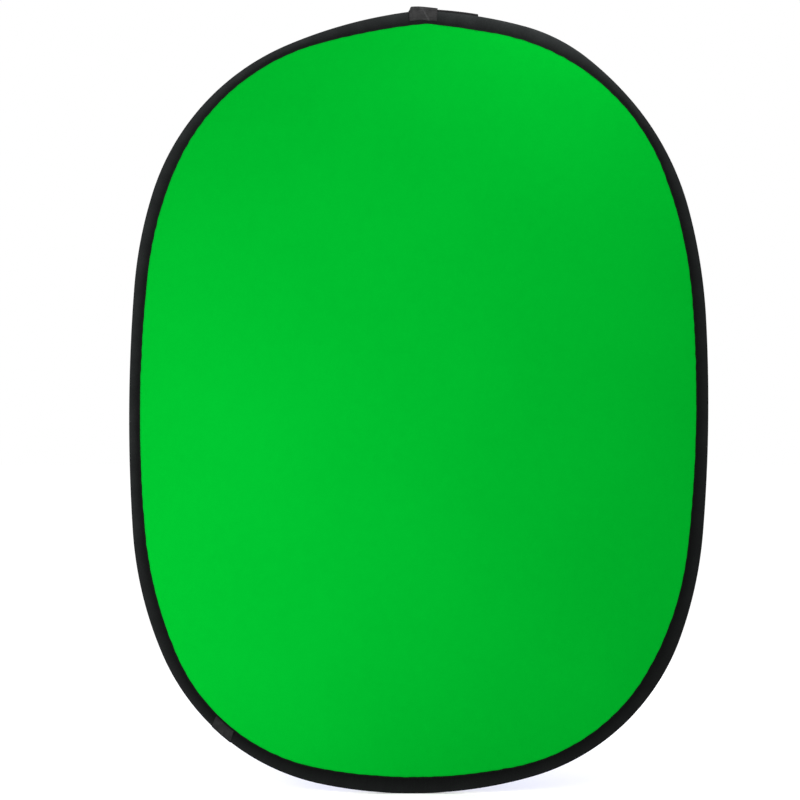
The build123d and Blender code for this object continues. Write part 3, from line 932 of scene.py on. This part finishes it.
GREEN = panel_cloth(
    "green_cotton",
    base=colour(0.0002, 0.244, 0.0133),
    deep=colour(0.0001, 0.232, 0.0123),
    light=colour(0.0003, 0.254, 0.0143),
)
BLUE = panel_cloth(
    "blue_cotton",
    base=colour(0.0040, 0.040, 0.350),
    deep=colour(0.0035, 0.037, 0.330),
    light=colour(0.0050, 0.045, 0.370),
)
BINDING = tape_cloth(
    "binding_weave",
    dark=colour(0.0036, 0.0040, 0.0040),
    light=colour(0.0053, 0.0058, 0.0058),
    wear_and_highlight=colour(0.016, 0.016, 0.0165),
    pitch=0.00045,
    fold_line=0.040,
    # painted light, paler towards the high left of the hoop
    painted_light_gradient=(0.97, 2.50),
    # painted highlight on the top right of the hoop, beside the loop
    painted_highlight=((0.26, 0.0, 1.96), 0.44, 1.55),
)
PATCH = tape_cloth(
    "patch_weave",
    dark=colour(0.0160, 0.0160, 0.0162),
    light=colour(0.0280, 0.0280, 0.0283),
    wear_and_highlight=colour(0.045, 0.045, 0.046),
    pitch=0.00060,
    fold_line=0.034,
    mottle=55.0,
    # painted highlight along a crease on the patch's front
    crease_highlight=((0.846, -0.534, 0.0), 0.0176),
)
COVER = tape_cloth(
    "cover_weave",
    dark=colour(0.0085, 0.0085, 0.0088),
    light=colour(0.0155, 0.0153, 0.0157),
    wear_and_highlight=colour(0.030, 0.030, 0.031),
    pitch=0.00060,
    fold_line=0.036,
    mottle=70.0,
)
WEBBING_FABRIC = tape_cloth(
    "loop_weave",
    dark=colour(0.0105, 0.0105, 0.0108),
    light=colour(0.0165, 0.0165, 0.0169),
    wear_and_highlight=colour(0.032, 0.032, 0.033),
    pitch=0.00080,
    fold_line=0.0,
)
THREAD = thread_fibre()


# ---------------------------------------------------------------- pieces
def place_piece(piece, body, slot, *nodes):
    """Hides the CAD nodes that a piece stands for, and lets it ride on a body, if one is named. The slot is
    not used."""
    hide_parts(*nodes)
    if body:
        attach(piece, body)


binding = binding_tape(BINDING)
green_panel = cloth_panel("green_panel", 1, GREEN)
blue_panel = cloth_panel("blue_panel", -1, BLUE)
place_piece(binding, "frame", "binding_tape", "edge_binding")
place_piece(green_panel, "frame", "green_cloth", "front_panel")
place_piece(blue_panel, "frame", "blue_cloth", "rear_panel")
front_seam = stitches("seam_stitches_front", [seam_row(1)], THREAD)
place_piece(front_seam, "frame", "black_thread", "binding_thread_front")
rear_seam = stitches("seam_stitches_rear", [seam_row(-1)], THREAD)
place_piece(rear_seam, "frame", "black_thread", "binding_thread_rear")

patch, patch_face, patch_outward = top_patch(PATCH)
place_piece(patch, "frame", "patch_cloth", "loop_patch")
patch_rows = box_rows(patch_face, patch_outward, margin=3, bottom=2, top=14)
patch_stitches = stitches("top_patch_stitches", patch_rows, THREAD)
place_piece(patch_stitches, "frame", "black_thread", "loop_patch_thread")

cover, cover_face, cover_outward = joint_patch(COVER)
place_piece(cover, "frame", "patch_cloth", "closing_patch")
cover_rows = box_rows(cover_face, cover_outward, margin=3, bottom=1, top=12)
cover_stitches = stitches("joint_patch_stitches", cover_rows, THREAD)
place_piece(cover_stitches, "frame", "black_thread", "closing_patch_thread")

strap = hanging_strap(WEBBING_FABRIC)
place_piece(strap, None, "loop_webbing", "loop_tail", "hanging_loop")
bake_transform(strap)

# The metal and the tape inside the binding stay the CAD's own nodes.
kept = {
    "spring_band": steel(
        "spring_steel", colour(0.16, 0.17, 0.20), colour(0.07, 0.07, 0.09),
        roughness=0.30, streaks=(1.0, 9.0, 1.0), grain=260.0,
    ),
    "joint_sleeve": steel(
        "zinc_plate", colour(0.58, 0.57, 0.54), colour(0.40, 0.38, 0.33),
        roughness=0.34, streaks=(1.0, 6.0, 1.0), grain=420.0,
    ),
    "joint_rivets": steel(
        "rivet_metal", colour(0.70, 0.70, 0.70), colour(0.50, 0.50, 0.49),
        roughness=0.30, streaks=(1.0, 1.0, 1.0), grain=900.0,
    ),
    "joint_wrap": wound_tape(),
}
for node, material in kept.items():
    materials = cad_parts[node].data.materials
    materials.clear()
    materials.append(material)


# ---------------------------------------------------------------- floor, light and camera
def floor():
    """A large near-white floor, just under the object."""
    s = Shader(
        "floor", Roughness=0.9, Specular_IOR_Level=0.0,
        Emission_Color=colour(1, 1, 1), Emission_Strength=0.12,
    )
    grain = s.noise(s.object_vector(), 3.0, 3.0)
    s.link(s.mixed(grain, colour(0.93, 0.93, 0.93), colour(0.95, 0.95, 0.95)), "Base Color")
    mesh = bpy.data.meshes.new("floor")
    reach, level = 30.0, cad_box[0][2] - 0.0005
    sides = ((-reach, -reach), (reach, -reach), (reach, reach), (-reach, reach))
    mesh.from_pydata([(x, y, level) for x, y in sides], [], [[0, 1, 2, 3]])
    mesh.materials.append(s.material)
    add_object("floor", mesh)


def soft_light(name, place, target, size, watts):
    """A square soft box that points at a target."""
    data = bpy.data.lights.new(name, "AREA")
    data.shape = "SQUARE"
    data.size = size
    data.energy = watts
    lamp = add_object(name, data)
    lamp.location = place
    lamp.rotation_euler = (Vector(target) - Vector(place)).to_track_quat("-Z", "Y").to_euler()
    lamp.visible_camera = False


def camera():
    """A long lens, square on to the front, a little left of the object's middle."""
    distance, seen, sensor = 6.0, 2.0448, 36.0  # seen is the height of the view at the object
    data = bpy.data.cameras.new("camera")
    data.sensor_width = sensor
    data.lens = sensor * distance / seen
    holder = add_object("camera", data)
    holder.location = (-0.0479, -distance, 1.0044)
    holder.rotation_euler = (math.radians(90), 0, 0)
    bpy.context.scene.camera = holder


scene = bpy.context.scene
scene.view_settings.view_transform = "Standard"
world = bpy.data.worlds.new("white_studio")
world.use_nodes = True
world.node_tree.nodes["Background"].inputs["Color"].default_value = colour(1, 1, 1)
world.node_tree.nodes["Background"].inputs["Strength"].default_value = 1.0
scene.world = world
floor()
soft_light("key_left", place=(-0.88, -1.46, 0.69), target=(-0.5, 0.0, 1.0), size=1.4, watts=35.3)
soft_light("fill_top", place=(0.54, -0.80, 2.49), target=(-0.4, 0.0, 1.6), size=1.0, watts=13.6)
soft_light("top_right", place=(0.42, -0.34, 2.16), target=(0.34, 0.0, 1.90), size=0.3, watts=0.85)
soft_light("rear", place=(1.6, 2.4, 1.8), target=(0.0, 0.0, 1.0), size=1.6, watts=34.0)
camera()
